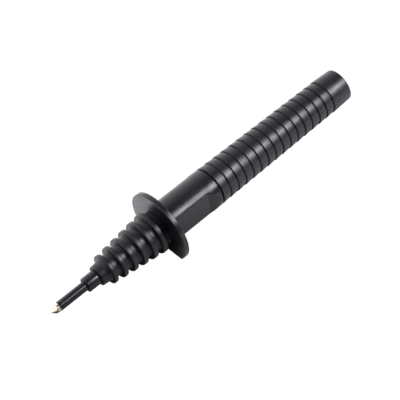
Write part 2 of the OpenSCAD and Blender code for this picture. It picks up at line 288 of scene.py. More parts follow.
# Lengths this close count as the same, and a slope is never taken as flatter than this
ON_AXIS = 1e-6
TOUCHING = 0.001
NEAR = 0.01
LEAST_SLOPE = 0.05

# ---------------------------------------------------------------- looks, camera, floor and light

# Noise of the materials, in features per metre, with stretch along X, Y and Z
MOTTLE_SCALE = 90
SMEAR_SCALE = 350
SMEAR_STRETCH = (0.35, 1, 1)
TURNING_SCALE = 9000
TURNING_STRETCH = (1, 0.02, 0.02)
TARNISH_SCALE = 500
CLOUD_SCALE = 260
NOISE_ROUGHNESS = 0.55
# Part of a noise that is mapped onto a material's range
NOISE_LOW = 0.35
NOISE_HIGH = 0.65

# Lowest and highest roughness of a material, as shares of its middle roughness
MOULDED_SHEEN = (0.88, 1.14)
PLATED_SHEEN = (0.8, 1.3)
DULL_SHEEN = (0.85, 1.2)
PLASTIC_IOR = 1.5
MOTTLE_HEIGHT = 0.02
MOTTLE_STRENGTH = 0.6
TARNISH_SHADE = 0.86
CLOUD_SHADE = 0.12
SOFT_BLACK = (0.0022, 0.0026, 0.0046)
BODY_BLACK = (0.0028, 0.0032, 0.0054)

CAMERA_AZIMUTH = -33.33
CAMERA_ELEVATION = 49.18
CAMERA_ROLL = 12.02
CAMERA_DISTANCE = 872.0
CAMERA_LENS = 153.0
CAMERA_AIM = (98.77, -1.75, -1.28)
SENSOR_WIDTH = 36
CLIP_START = 0.05
CLIP_END = 20

# Floor greys as (share of the reach, grey): across the probe on each side, then along it. These paint
# light and shade into what the probe reflects: a painted shadow under the probe on the near side, a
# painted glow of lit floor on the far side, and painted dimming of the light towards the tip.
FLOOR_SIZE = 6.0
FLOOR_CLEARANCE = 0.03
FLOOR_GLOW = 1.02
FLOOR_REACH = 0.04
FLOOR_NEAR_PAINTED_SHADOW = [(0.0, 0.9), (0.35, 0.9), (0.42, 0.22), (0.5, 0.07), (0.55, 0.0)]
FLOOR_FAR = [(0.52, 0.0), (0.64, 0.15), (0.8, 0.9), (1.0, 1.05)]
FLOOR_FAR_GLOW = 1.6
FLOOR_TIP = 0.06
FLOOR_PAINTED_FALLOFF = [(0.0, 0.42), (0.9, 1.0)]

# Backdrop glows as (bearing, power, strength), and softboxes as (name, centre, length, radiance)
COOL = (0.965, 0.985, 1.02)
ROOM_DIM = 0.04
GLOWS = [((0, 0.98, 0.19), 1.7, 1.6), ((-0.80, 0.20, 0.57), 3, 1.1)]
LAMPS = [("key_long", (0.625, -0.60, 0.70), 0.65, 12.5), ("key_rear", (0.700, -0.60, 0.70), 0.50, 6.5)]
LAMP_AIM = (0.1, 0, 0)
LAMP_ALONG = (1, 0.1, 0)
LAMP_WIDTH = 0.37


# ---------------------------------------------------------------- mesh helpers

def rounded(corners, closed=False):
    """Path through [x, r, fillet] corners, with an arc at each corner that has a fillet."""
    count = len(corners)
    path = []
    for i, (x, r, fillet) in enumerate(corners):
        inside = closed or 0 < i < count - 1
        if fillet <= 0 or not inside:
            path.append((x, r))
            continue
        here = Vector((x, r))
        before = Vector(corners[i - 1][:2]) - here
        after = Vector(corners[(i + 1) % count][:2]) - here
        turn = before.angle(after)
        reach = fillet / math.tan(turn / 2)
        start = here + before.normalized() * reach
        end = here + after.normalized() * reach
        middle = here + (before.normalized() + after.normalized()).normalized() * (
            fillet / math.sin(turn / 2))
        first, last = start - middle, end - middle
        sweep = first.angle_signed(last)
        steps = max(2, math.ceil(abs(sweep) / ARC_STEP))
        bearing = math.atan2(first.y, first.x)
        for k in range(steps + 1):
            a = bearing - sweep * k / steps
            path.append((middle.x + fillet * math.cos(a), middle.y + fillet * math.sin(a)))
    return path


def dense(path, step):
    """The same path with extra points, so that no run is longer than step."""
    out = [path[0]]
    for a, b in zip(path, path[1:]):
        runs = max(1, math.ceil(math.dist(a, b) / step))
        for k in range(1, runs + 1):
            out.append((a[0] + (b[0] - a[0]) * k / runs, a[1] + (b[1] - a[1]) * k / runs))
    return out


def mark_sharp(mesh):
    """Smooth shading, apart from edges sharper than SHARP_ANGLE."""
    edit = bmesh.new()
    edit.from_mesh(mesh)
    for face in edit.faces:
        face.smooth = True
    for edge in edit.edges:
        edge.smooth = len(edge.link_faces) == 2 and edge.calc_face_angle(0) < SHARP_ANGLE
    edit.to_mesh(mesh)
    edit.free()


def to_object(name, edit):
    """Makes an object of an edit mesh and puts it in the scene."""
    mesh = bpy.data.meshes.new(name)
    edit.to_mesh(mesh)
    edit.free()
    piece = bpy.data.objects.new(name, mesh)
    bpy.context.scene.collection.objects.link(piece)
    return piece


def turned(name, path, segments=RING_SEGMENTS, shape=None, closed=True):
    """Surface of revolution about the X axis. shape(x, r, angle) may change a point's radius.
    A closed path is a ring; an open one starts and ends on the axis."""
    edit = bmesh.new()
    rows = []
    for x, r in path:
        if r < ON_AXIS:
            rows.append([edit.verts.new((x * MM, 0, 0))])
            continue
        row = []
        for k in range(segments):
            a = 2 * math.pi * k / segments
            radius = shape(x, r, a) if shape else r
            row.append(edit.verts.new((x * MM, radius * math.cos(a) * MM, radius * math.sin(a) * MM)))
        rows.append(row)
    pairs = list(zip(rows, rows[1:]))
    if closed:
        pairs.append((rows[-1], rows[0]))
    for one, two in pairs:
        for k in range(segments):
            m = (k + 1) % segments
            corners = [one[k % len(one)], one[m % len(one)], two[m % len(two)], two[k % len(two)]]
            unique = list(dict.fromkeys(corners))
            if len(unique) >= 3:
                edit.faces.new(unique)
    bmesh.ops.recalc_face_normals(edit, faces=edit.faces)
    piece = to_object(name, edit)
    mark_sharp(piece.data)
    return piece


def cylinder(name, start, end, r, segments=BAR_SEGMENTS, edge=0.0):
    """Round bar between two points, in millimetres, with rounded rims."""
    start, end = Vector(start), Vector(end)
    length = (end - start).length
    corners = [[0, 0, 0], [0, r, edge], [length, r, edge], [length, 0, 0]]
    piece = turned(name, rounded(corners), segments, closed=False)
    turn = Vector((1, 0, 0)).rotation_difference(end - start).to_matrix().to_4x4()
    piece.data.transform(Matrix.Translation(start * MM) @ turn)
    return piece


def block(name, low, high):
    """Rectangular block between two corners, in millimetres."""
    edit = bmesh.new()
    bmesh.ops.create_cube(edit, size=1)
    piece = to_object(name, edit)
    low, high = Vector(low), Vector(high)
    size = Matrix.Diagonal(((high - low) * MM).to_4d())
    piece.data.transform(Matrix.Translation((low + high) / 2 * MM) @ size)
    return piece


def carve(piece, tool, operation="DIFFERENCE"):
    """Cuts a tool out of a piece, or joins it on, and removes the tool."""
    cut = piece.modifiers.new("carve", "BOOLEAN")
    cut.operation = operation
    cut.solver = "EXACT"
    cut.object = tool
    bpy.context.view_layer.update()
    result = bpy.data.meshes.new_from_object(piece.evaluated_get(bpy.context.evaluated_depsgraph_get()))
    piece.modifiers.remove(cut)
    piece.data = result
    bpy.data.objects.remove(tool)
    mark_sharp(result)


def soft_min(a, b, k):
    """The smaller of a and b, with a rounded corner of size k."""
    h = max(k - abs(a - b), 0) / k
    return min(a, b) - h * h * k / 4


def smooth_step(x, low, high):
    """Rises from 0 at low to 1 at high, level at both ends."""
    t = min(max((x - low) / (high - low), 0), 1)
    return t * t * (3 - 2 * t)


# ---------------------------------------------------------------- materials

def new_material(name):
    """Empty node material with a Principled surface: (material, nodes, links, surface)."""
    material = bpy.data.materials.new(name)
    material.use_nodes = True
    nodes, links = material.node_tree.nodes, material.node_tree.links
    nodes.clear()
    out = nodes.new("ShaderNodeOutputMaterial")
    surface = nodes.new("ShaderNodeBsdfPrincipled")
    links.new(surface.outputs["BSDF"], out.inputs["Surface"])
    return material, nodes, links, surface


def noise_node(nodes, links, scale, detail, stretch=(1, 1, 1)):
    """Noise in the frame's own coordinates. Scale is features per metre."""
    place = nodes.new("ShaderNodeTexCoord")
    mapping = nodes.new("ShaderNodeMapping")
    mapping.inputs["Scale"].default_value = stretch
    texture = nodes.new("ShaderNodeTexNoise")
    texture.inputs["Scale"].default_value = scale
    texture.inputs["Detail"].default_value = detail
    texture.inputs["Roughness"].default_value = NOISE_ROUGHNESS
    links.new(place.outputs["Object"], mapping.inputs["Vector"])
    links.new(mapping.outputs["Vector"], texture.inputs["Vector"])
    return texture


def ramp_between(nodes, links, source, low, high):
    """Maps a texture's middle range onto low..high."""
    remap = nodes.new("ShaderNodeMapRange")
    remap.inputs["From Min"].default_value = NOISE_LOW
    remap.inputs["From Max"].default_value = NOISE_HIGH
    remap.inputs["To Min"].default_value = low
    remap.inputs["To Max"].default_value = high
    links.new(source.outputs[0], remap.inputs["Value"])
    return remap


def mix_colour(nodes, links, factor, one, two):
    """Colour that goes from one to two with a factor node's first output."""
    mix = nodes.new("ShaderNodeMix")
    mix.data_type = "RGBA"
    mix.inputs["A"].default_value = (*one, 1)
    mix.inputs["B"].default_value = (*two, 1)
    links.new(factor.outputs[0], mix.inputs["Factor"])
    return mix.outputs["Result"]


def tint(nodes, links, surface, texture, one, two):
    """Base colour that wanders between two colours with a texture."""
    factor = ramp_between(nodes, links, texture, 0, 1)
    links.new(mix_colour(nodes, links, factor, one, two), surface.inputs["Base Color"])


def sheen(nodes, links, surface, texture, roughness, spread):
    """Roughness that wanders with a texture between two shares of its middle value."""
    low, high = spread
    range_node = ramp_between(nodes, links, texture, roughness * low, roughness * high)
    links.new(range_node.outputs[0], surface.inputs["Roughness"])


def add_bump(nodes, links, surface, layers):
    """Stacks bump layers: (texture, height in millimetres, strength)."""
    previous = None
    for texture, height, strength in layers:
        bump = nodes.new("ShaderNodeBump")
        bump.inputs["Distance"].default_value = height * MM
        bump.inputs["Strength"].default_value = strength
        links.new(texture.outputs[0], bump.inputs["Height"])
        if previous:
            links.new(previous.outputs["Normal"], bump.inputs["Normal"])
        previous = bump
    links.new(previous.outputs["Normal"], surface.inputs["Normal"])


def black_moulding(name, colour, roughness, grain, grain_height, mottle=0.15):
    """Moulded black plastic or rubber: faint mottling, uneven sheen and a fine moulded grain."""
    material, nodes, links, surface = new_material(name)
    broad = noise_node(nodes, links, MOTTLE_SCALE, 3)
    fine = noise_node(nodes, links, grain, 3)
    smear = noise_node(nodes, links, SMEAR_SCALE, 5, SMEAR_STRETCH)
    lighter = tuple(c * (1 + 2 * mottle) for c in colour)
    darker = tuple(c * (1 - mottle) for c in colour)
    tint(nodes, links, surface, broad, darker, lighter)
    sheen(nodes, links, surface, smear, roughness, MOULDED_SHEEN)
    surface.inputs["IOR"].default_value = PLASTIC_IOR
    add_bump(nodes, links, surface, [(fine, grain_height, 1.0), (broad, MOTTLE_HEIGHT, MOTTLE_STRENGTH)])
    return material


def plated_metal(name, colour, roughness, turning):
    """Turned metal with plate: fine rings round the axis and a faint uneven tarnish."""
    material, nodes, links, surface = new_material(name)
    rings = noise_node(nodes, links, TURNING_SCALE, 2, TURNING_STRETCH)
    tarnish = noise_node(nodes, links, TARNISH_SCALE, 4)
    tint(nodes, links, surface, tarnish, colour, tuple(c * TARNISH_SHADE for c in colour))
    surface.inputs["Metallic"].default_value = 1
    sheen(nodes, links, surface, tarnish, roughness, PLATED_SHEEN)
    add_bump(nodes, links, surface, [(rings, turning, 1.0)])
    return material


def dull_solid(name, colour, roughness, grain=1800, grain_height=0.004):
    """Ceramic, laminate, lacquer and natural plastic inside the probe."""
    material, nodes, links, surface = new_material(name)
    cloud = noise_node(nodes, links, CLOUD_SCALE, 4)
    fine = noise_node(nodes, links, grain, 3)
    tint(nodes, links, surface, cloud, colour, tuple(c * (1 - CLOUD_SHADE) for c in colour))
    sheen(nodes, links, surface, fine, roughness, DULL_SHEEN)
    add_bump(nodes, links, surface, [(fine, grain_height, 1.0)])
    return material


# Name, colour and roughness; then grain and its height, or the height of the turning marks
MATERIALS = {
    "tip_gold": plated_metal("gold_plate_point", (1.0, 0.855, 0.69), 0.15, 0.001),
    "sleeve_black": black_moulding("glossy_sleeve", SOFT_BLACK, 0.26, 2500, 0.0003),
    "collar_black": black_moulding("satin_collar", SOFT_BLACK, 0.30, 2200, 0.002),
    "seal_rubber": black_moulding("seal_rubber", (0.006, 0.006, 0.006), 0.6, 1800, 0.01),
    "nose_black": black_moulding("insulating_rubber", SOFT_BLACK, 0.40, 1500, 0.010, 0.25),
    "body_black": black_moulding("satin_body", BODY_BLACK, 0.32, 2400, 0.003),
    "grip_black": black_moulding("grip_plastic", BODY_BLACK, 0.38, 1700, 0.008, 0.2),
    "core_ivory": dull_solid("natural_nylon", (0.62, 0.56, 0.44), 0.5),
    "turned_brass": plated_metal("turned_brass", (0.78, 0.58, 0.28), 0.28, 0.004),
    "spring_steel": plated_metal("spring_steel", (0.58, 0.59, 0.61), 0.26, 0.002),
    "tinned_copper": plated_metal("tinned_copper", (0.66, 0.65, 0.62), 0.34, 0.003),
    "ceramic_white": dull_solid("glazed_ceramic", (0.80, 0.78, 0.70), 0.25),
    "board_green": dull_solid("solder_mask", (0.012, 0.10, 0.035), 0.35, 900, 0.012),
    "resistor_blue": dull_solid("resistor_lacquer", (0.05, 0.16, 0.30), 0.3),
    "capacitor_brown": dull_solid("dipped_ceramic", (0.36, 0.14, 0.04), 0.38),
    "trimmer_tan": dull_solid("trimmer_base", (0.46, 0.36, 0.18), 0.5),
    "support_grey": dull_solid("grey_nylon", (0.08, 0.08, 0.085), 0.55),
    "nickel": plated_metal("nickel_plate", (0.66, 0.64, 0.60), 0.2, 0.003),
    "insulator_white": dull_solid("fluoropolymer", (0.82, 0.82, 0.78), 0.55),
    "contact_gold": plated_metal("gold_plate_contact", (1.0, 0.76, 0.42), 0.2, 0.002),
}
NODE_SLOTS = {part["node"]: part["material_slot"] for part in frame["record"]["subparts"]}


def dress(piece, node):
    """Gives a new piece the node's material and body, and hides the CAD node that it stands for."""
    slot = NODE_SLOTS[node]
    piece.data.materials.clear()
    piece.data.materials.append(MATERIALS[slot])
    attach(piece, frame["nodes"][node]["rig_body"])
    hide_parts(node)


# ---------------------------------------------------------------- plunger and spring

def make_contact_tip():
    """Round head with a four-sided point whose faces meet at the contact point."""
    def shape(x, r, a):
        """Cuts the four faces into the head."""
        if x >= POINT_L + HEAD_L - NEAR:
            return r
        face = max(abs(math.cos(a - POINT_TURN)), abs(math.sin(a - POINT_TURN)))
        half = HEAD_R * x / POINT_L
        return soft_min(r, half / face, POINT_CORNER)

    corners = [[SLEEVE_LOW.x - HEAD_EDGE_L, HEAD_R, 0], [SLEEVE_LOW.x, HEAD_R - HEAD_EDGE, 0],
               [SLEEVE_LOW.x, STUD_R, 0], [TIP_HIGH.x, STUD_R, MIDDLE], [TIP_HIGH.x, 0, 0]]
    path = [(0.0, 0.0)]
    path += [(POINT_L * (k / POINT_ROWS) ** POINT_CROWDING * POINT_OVERRUN, HEAD_R)
             for k in range(1, POINT_ROWS + 1)]
    path += rounded(corners)
    dress(turned("contact_point", path, TIP_SEGMENTS, shape, closed=False), "contact_tip")


def make_sleeve():
    """Insulating sleeve with rounded front edge and a small round dimple."""
    def shape(x, r, a):
        """Sinks the dimple into the outside."""
        if r < SLEEVE_R - SLEEVE_RELIEF / 2:
            return r
        along = x - DIMPLE_X
        across = (a - DIMPLE_ANGLE) * SLEEVE_R
        distance = math.hypot(along, across)
        depth = 1 - smooth_step(distance, DIMPLE_R * DIMPLE_FLOOR, DIMPLE_R * DIMPLE_RIM)
        return r - DIMPLE_DEPTH * depth

    front, back, edge_x = SLEEVE_LOW.x, SLEEVE_HIGH.x, COLLAR_LOW.x
    inner_r = SLEEVE_R - SLEEVE_RELIEF
    path = rounded([[front, SLEEVE_BORE, FINE], [front, SLEEVE_R, SLEEVE_EDGE], [edge_x, SLEEVE_R, 0],
                    [edge_x + SLEEVE_RELIEF, inner_r, 0], [back, inner_r, SMALL],
                    [back, SLEEVE_BORE, FINE]], closed=True)
    low, high = DIMPLE_X - DIMPLE_REACH, DIMPLE_X + DIMPLE_REACH
    rows = []
    for a, b in zip(path, path[1:] + path[:1]):
        rows.append(a)
        outside = abs(a[1] - SLEEVE_R) < NEAR and abs(b[1] - SLEEVE_R) < NEAR
        if outside and b[0] - a[0] > SLEEVE_LONG:
            rows += [(low + (high - low) * k / DIMPLE_ROWS, SLEEVE_R) for k in range(DIMPLE_ROWS + 1)]
            rows += [(high + (b[0] - high) * k / SLEEVE_ROWS, SLEEVE_R) for k in range(1, SLEEVE_ROWS)]
    dress(turned("insulating_sleeve", rows, SMALL_RING_SEGMENTS, shape), "tip_sleeve")


def make_spring():
    """Round-wire coil, which in the real probe shortens towards the bush as the tip is pressed; here it
    is a fixed mesh.
    """
    front = SPRING_LOW.x + SPRING_WIRE_R + SPRING_GAP
    rear = SPRING_HIGH.x - SPRING_WIRE_R - SPRING_GAP
    count = int(SPRING_TURNS * SPRING_STEPS)
    edit = bmesh.new()
    rings = []
    for j in range(count + 1):
        x = front + (rear - front) * j / count
        a = 2 * math.pi * j / SPRING_STEPS
        ring = []
        for k in range(SPRING_SIDES):
            b = 2 * math.pi * k / SPRING_SIDES
            r = SPRING_R + SPRING_WIRE_R * math.cos(b)
            point = Vector((x + SPRING_WIRE_R * math.sin(b), r * math.cos(a), r * math.sin(a)))
            ring.append(edit.verts.new(point * MM))
        rings.append(ring)
    for one, two in zip(rings, rings[1:]):
        for k in range(SPRING_SIDES):
            m = (k + 1) % SPRING_SIDES
            edit.faces.new((one[k], one[m], two[m], two[k]))
    edit.faces.new(rings[0])
    edit.faces.new(rings[-1])
    bmesh.ops.recalc_face_normals(edit, faces=edit.faces)
    piece = to_object("plunger_spring", edit)
    mark_sharp(piece.data)
    dress(piece, "tip_spring")
    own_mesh(piece)


# ---------------------------------------------------------------- collar and nose

def make_collar():
    """Short collar that the sleeve comes out of, with a spigot inside the nose."""
    front, shoulder, back = COLLAR_LOW.x, COLLAR_LOW.x + COLLAR_L, COLLAR_HIGH.x
    corners = [[front, COLLAR_BORE, COLLAR_MOUTH_EDGE], [front, COLLAR_R, COLLAR_EDGE],
               [shoulder, COLLAR_R, COLLAR_REAR_EDGE], [shoulder, SPIGOT_R, 0],
               [back, SPIGOT_R, MIDDLE], [back, COLLAR_BORE, FINE]]
    dress(turned("collar", rounded(corners, closed=True), SMALL_RING_SEGMENTS), "front_collar")


def make_seal():
    """Rubber ring between collar and nose."""
    low, high, r = SEAL_LOW.x, SEAL_HIGH.x, SEAL_HIGH.z
    corners = [[low, SPIGOT_R, 0], [low, r, MIDDLE], [high, r, MIDDLE], [high, SPIGOT_R, 0]]
    dress(turned("seal_ring", rounded(corners, closed=True), SEAL_SEGMENTS), "collar_seal")


def shed_x(i):
    """Front face of a shed."""
    return SHED_X0 + i * SHED_PITCH


def shed_r(i):
    """Rim radius of a shed."""
    return SHED_R0 + i * SHED_GROW


def make_nose():
    """Ribbed insulating boot: thin sheds with rounded rims and filleted roots."""
    front, back = NOSE_LOW.x, NOSE_HIGH.x
    corners = [[front, SPIGOT_R, SMALL], [front, STUB_R0, WIDE], [STUB_X1, STUB_R1, WIDE],
               [SHED_X0, SHED_R0 - SHED_DEPTH, SHED_ROOT]]
    for i in range(SHED_COUNT):
        low = shed_x(i)
        high = low + SHED_T + i * SHED_T_GROW
        crest, waist = shed_r(i), shed_r(i) - SHED_DEPTH
        corners += [[low, crest, SHED_EDGE], [high, crest, SHED_REAR_EDGE], [high, waist, SHED_ROOT]]
        if i < SHED_COUNT - 1:
            corners.append([shed_x(i + 1), waist, SHED_ROOT])
    corners += [[back, waist, LIGHT], [back, CORE_R, FINE], [CORE_X0, CORE_R, FINE],
                [CORE_X0, SPIGOT_R, FINE]]
    dress(turned("ribbed_nose", rounded(corners, closed=True)), "nose_insulator")


# ---------------------------------------------------------------- guard and front body

def disc_outline(a):
    """Radius of the guard disc at an angle, with its flat on the -Z side."""
    down = -math.sin(a)
    return soft_min(DISC_R, REST_FLAT / down, REST_CORNER) if down > LEAST_SLOPE else DISC_R


def flat_distance(x):
    """Distance from the axis to the side flat, rising along the ramp."""
    rise = (BODY_R1 - SIDE_FLAT) / RAMP_L
    beyond = x - FLAT_X1
    soft = 0.5 * (beyond + math.sqrt(beyond * beyond + RAMP_SOFTNESS))
    return SIDE_FLAT + rise * soft


def body_shape(x, r, a):
    """Radius of the guard and body at an angle: the disc's flat, then the two side flats."""
    if x < DISC_X1 + TOUCHING and r > BODY_R0:
        share = (r - BODY_R0) / (DISC_R - BODY_R0)
        return BODY_R0 + share * (disc_outline(a) - BODY_R0)
    if x > DISC_X1 - NEAR and r > NECK_R + NECK_MARGIN and x < BODY_X1 + NEAR:
        side = abs(math.cos(a))
        ramp = smooth_step(x, FLAT_X1 - RAMP_CORNER_LEAD, FLAT_X1 + RAMP_L)
        limit = flat_distance(x) / max(side, LEAST_SLOPE)
        swell = SWELL * math.exp(-((x - FLAT_X1 - SWELL_X) / SWELL_L) ** 2)
        swell *= math.exp(-((side - SWELL_SIDE) / SWELL_SPREAD) ** 2)
        return soft_min(r + swell, limit, FLAT_CORNER + RAMP_CORNER * ramp)
    return r


def make_guard_body():
    """Guard disc and front body in one piece, with rest flat, side flats and a neck for the grip."""
    head = rounded([[DISC_X0, CORE_R, SMALL], [DISC_X0, BODY_R0, 0], [DISC_X0, DISC_R, DISC_EDGE],
                    [DISC_X1, DISC_R, DISC_EDGE], [DISC_X1, BODY_R0, DISC_ROOT],
                    [BODY_X1, BODY_R1, 0]])[:-1]
    run_in = (FLAT_X1 - RAMP_RUN_IN, BODY_R0 + (BODY_R1 - BODY_R0) * RUN_IN_SHARE)
    body = dense([head[-1], run_in], BODY_STEP)[1:]
    body += dense([body[-1], (BODY_X1 - RAMP_RUN_OUT, BODY_R1)], RAMP_STEP)[1:]
    wall_x = DISC_X0 + GUARD_WALL
    tail = rounded([[BODY_X1 - END_LEAD, BODY_R1, 0], [BODY_X1, BODY_R1, BODY_END_EDGE],
                    [BODY_X1, NECK_R, NECK_EDGE], [GRIP_X0, NECK_R, 0],
                    [GRIP_X0, GUARD_SPIGOT_R, SMALL], [SHIELD_X0, GUARD_SPIGOT_R, WIDE],
                    [SHIELD_X0, GUARD_BORE, MIDDLE], [wall_x, GUARD_BORE, 0], [wall_x, CORE_R, 0],
                    [DISC_X0, CORE_R, 0]])[1:-1]
    dress(turned("finger_guard", head + body + tail, FINE_SEGMENTS, body_shape), "guard_body")


# ---------------------------------------------------------------- grip

def groove_x(i):
    """Middle of a groove."""
    return GROOVE_X0 + i * GROOVE_PITCH


def lip_r(i):
    """Radius of the lip behind a groove."""
    return LIP_R0 + (LIP_R1 - LIP_R0) * i / (GROOVE_COUNT - 1)


def make_grip():
    """Ribbed grip and plain tail, hollow, with the recess for the plug and the trimming hole."""
    corners = [[groove_x(0) + GROOVE_W / 2, GUARD_SPIGOT_R, 0]]
    for i in range(GROOVE_COUNT - 1):
        ring_x0, ring_x1 = groove_x(i) + GROOVE_W / 2, groove_x(i + 1) - GROOVE_W / 2
        floor_r = lip_r(i + 1) - GROOVE_DEPTH
        corners += [[ring_x0, lip_r(i), LIP_ROUND], [ring_x1, lip_r(i + 1) - RING_FALL, LIP_ROUND],
                    [ring_x1, floor_r, SMALL], [ring_x1 + GROOVE_W, floor_r, SMALL]]
    corners += [[TAIL_X0, LIP_R1, LIP_ROUND], [TAIL_X1, TAIL_R, TAIL_EDGE], [TAIL_X1, MOUTH_R, WIDE],
                [MOUTH_X0, MOUTH_R, SMALL], [MOUTH_X0, RECESS_R, SMALL], [WEB_X1, RECESS_R, WIDE],
                [WEB_X1, WEB_BORE, FINE], [WEB_X0, WEB_BORE, FINE], [WEB_X0, SHIELD_R, MIDDLE],
                [SHIELD_X0, SHIELD_R, 0], [SHIELD_X0, GUARD_SPIGOT_R, 0]]
    piece = turned("ribbed_grip", rounded(corners, closed=True))
    carve(piece, cylinder("hole", (ACCESS_X, 0, -LIP_R0 - ACCESS_PAST),
                          (ACCESS_X, 0, -SHIELD_R + ACCESS_PAST), ACCESS_R))
    dress(piece, "handle_grip")


# ---------------------------------------------------------------- receptacle

def make_receptacle():
    """Bayonet receptacle: threaded rear, flange, barrel with two lugs."""
    low, root_r, relief_r = SHELL_LOW.x, THREAD_R - THREAD_DEPTH, BARREL_R - BARREL_RELIEF
    corners = [[low, REAR_BORE, SMALL], [low, THREAD_R - THREAD_CHAMFER, FINE]]
    for k in range(int((FLANGE_X0 - low - THREAD_PITCH) / THREAD_PITCH)):
        x = low + THREAD_START + k * THREAD_PITCH
        corners += [[x + THREAD_PITCH * CREST_START, THREAD_R, FINE],
                    [x + THREAD_PITCH * CREST_END, THREAD_R, FINE],
                    [x + THREAD_PITCH * ROOT_PLACE, root_r, FINE]]
    corners += [[FLANGE_X0 - THREAD_RUNOUT, root_r, 0], [FLANGE_X0, root_r, 0],
                [FLANGE_X0, FLANGE_R, LIGHT], [FLANGE_X1, FLANGE_R, WIDE],
                [FLANGE_X1, relief_r, BARREL_ROOT], [FLANGE_X1 + BARREL_RELIEF_L, relief_r, FINE],
                [FLANGE_X1 + BARREL_FULL_L, BARREL_R, FINE], [BARREL_X1, BARREL_R, BARREL_EDGE],
                [BARREL_X1, SHELL_BORE, SHELL_MOUTH_EDGE], [SEAT_X0, SHELL_BORE, SMALL],
                [SEAT_X0, REAR_BORE, FINE]]
    piece = turned("receptacle", rounded(corners, closed=True), SMALL_RING_SEGMENTS)
    for side in (-1, 1):
        carve(piece, cylinder("lug", (LUG_X, 0, side * (SHELL_BORE + LUG_OVERLAP)),
                              (LUG_X, 0, side * LUG_REACH), LUG_R, LUG_SEGMENTS, MIDDLE), "UNION")
    dress(piece, "socket_shell")


def make_receptacle_insulator():
    """White insulator: a disc on the shell's seat and a sleeve round the centre contact."""
    low, high, seat_x1 = INSULATOR_LOW.x, INSULATOR_HIGH.x, SEAT_X0 + SEAT_L
    corners = [[low, CONTACT_TAIL_R, 0], [low, REAR_BORE, SMALL], [SEAT_X0, REAR_BORE, 0],
               [SEAT_X0, SHELL_BORE, SMALL], [seat_x1, SHELL_BORE, SMALL], [seat_x1, INSULATOR_R, WIDE],
               [high, INSULATOR_R, WIDE], [high, PIN_R, LIGHT], [SEAT_X0, PIN_R, 0],
               [SEAT_X0, CONTACT_TAIL_R, 0]]
    piece = turned("receptacle_insulator", rounded(corners, closed=True), INSULATOR_SEGMENTS)
    dress(piece, "socket_insulator")


def make_receptacle_contact():
    """Centre contact: a tube with a slotted mouth and a solder tail."""
    low, high = CONTACT_LOW.x, CONTACT_HIGH.x
    corners = [[low, 0, 0], [low, CONTACT_TAIL_R, LIGHT], [SEAT_X0, CONTACT_TAIL_R, 0],
               [SEAT_X0, PIN_R, SMALL], [high, PIN_R, LIGHT], [high, PIN_BORE, LIGHT],
               [high - PIN_DEPTH, PIN_BORE, 0], [high - PIN_DEPTH, 0, 0]]
    piece = turned("receptacle_contact", rounded(corners), BAR_SEGMENTS, closed=False)
    across = 2 * PIN_R + SLOT_PAST
    for wide, tall in ((SLOT_W, across), (across, SLOT_W)):
        carve(piece, block("slot", (high - SLOT_L, -wide / 2, -tall / 2),
                           (high + SLOT_PAST, wide / 2, tall / 2)))
    dress(piece, "socket_contact")


# ---------------------------------------------------------------- floor, light and camera

def math_node(nodes, links, operation, *values):
    """Output of a math node whose inputs are sockets or plain numbers."""
    node = nodes.new("ShaderNodeMath")
    node.operation = operation
    for socket, value in zip(node.inputs, values):
        if isinstance(value, bpy.types.NodeSocket):
            links.new(value, socket)
        else:
            socket.default_value = value
    return node.outputs[0]


def grade(nodes, links, value, reach, stops):
    """Piecewise shade along a coordinate from -reach to reach; stops are (share, grey)."""
    share = nodes.new("ShaderNodeMapRange")
    share.inputs["From Min"].default_value = -reach
    share.inputs["From Max"].default_value = reach
    links.new(value, share.inputs["Value"])
    ramp = nodes.new("ShaderNodeValToRGB")
    points = ramp.color_ramp.elements
    while len(points) < len(stops):
        points.new(0.5)
    for point, (position, grey) in zip(points, stops):
        point.position = position
        point.color = (grey, grey, grey, 1)
    links.new(share.outputs["Result"], ramp.inputs["Fac"])
    return ramp.outputs["Color"]


def painted_floor_light(nodes, links):
    """Painted light and shade of the floor: grey of the near side with a painted shadow dark under the
    probe and painted dimming near the tip, and painted glow of the far side.
    """
    place = nodes.new("ShaderNodeTexCoord")
    axes = nodes.new("ShaderNodeSeparateXYZ")
    links.new(place.outputs["Object"], axes.inputs[0])
    # Painted shadow: the near grade falls dark under the probe.
    near = grade(nodes, links, axes.outputs["Y"], FLOOR_REACH, FLOOR_NEAR_PAINTED_SHADOW)
    # Painted glow of lit floor on the far side.
    far = grade(nodes, links, axes.outputs["Y"], FLOOR_REACH, FLOOR_FAR)
    # Painted dimming of the light towards the tip.
    painted_falloff = grade(nodes, links, axes.outputs["X"], FLOOR_TIP, FLOOR_PAINTED_FALLOFF)
    grey = math_node(nodes, links, "MULTIPLY", near, painted_falloff)
    return grey, math_node(nodes, links, "MULTIPLY", far, FLOOR_FAR_GLOW)


